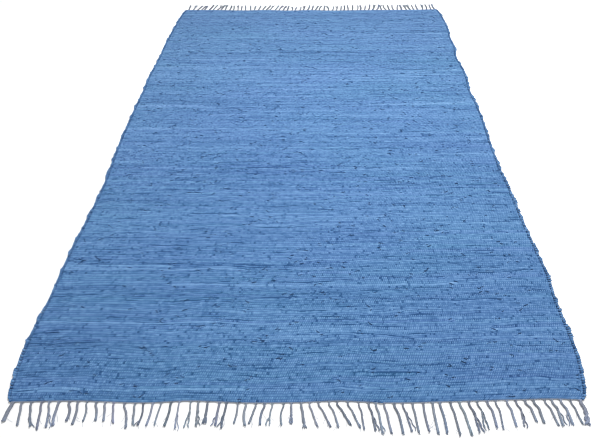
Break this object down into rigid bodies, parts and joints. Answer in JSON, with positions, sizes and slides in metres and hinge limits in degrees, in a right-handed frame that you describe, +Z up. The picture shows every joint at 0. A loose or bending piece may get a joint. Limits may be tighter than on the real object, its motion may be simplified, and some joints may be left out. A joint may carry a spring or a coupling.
{
  "type": "rag rug",
  "caption": "Flat hand-woven rectangular rag rug with slightly uneven edges and a fringe of gathered warp ends along both short ends.",
  "frame": {"origin": "middle of the underside of the woven field, on the floor plane", "axes": "+Y along the rug's length towards its far fringe, +X across it to the right, +Z up off the floor"},
  "size_m": [1.6199, 2.4619, 0.005],
  "materials": {
    "rag_weave": "matt woven cotton rag in streaky mid blue",
    "warp_yarn": "matt cotton yarn in slate grey blue"
  },
  "bodies": {
    "root": {"rug_field": "rag_weave", "fringe_near": "warp_yarn", "fringe_far": "warp_yarn"}
  },
  "joints": []
}
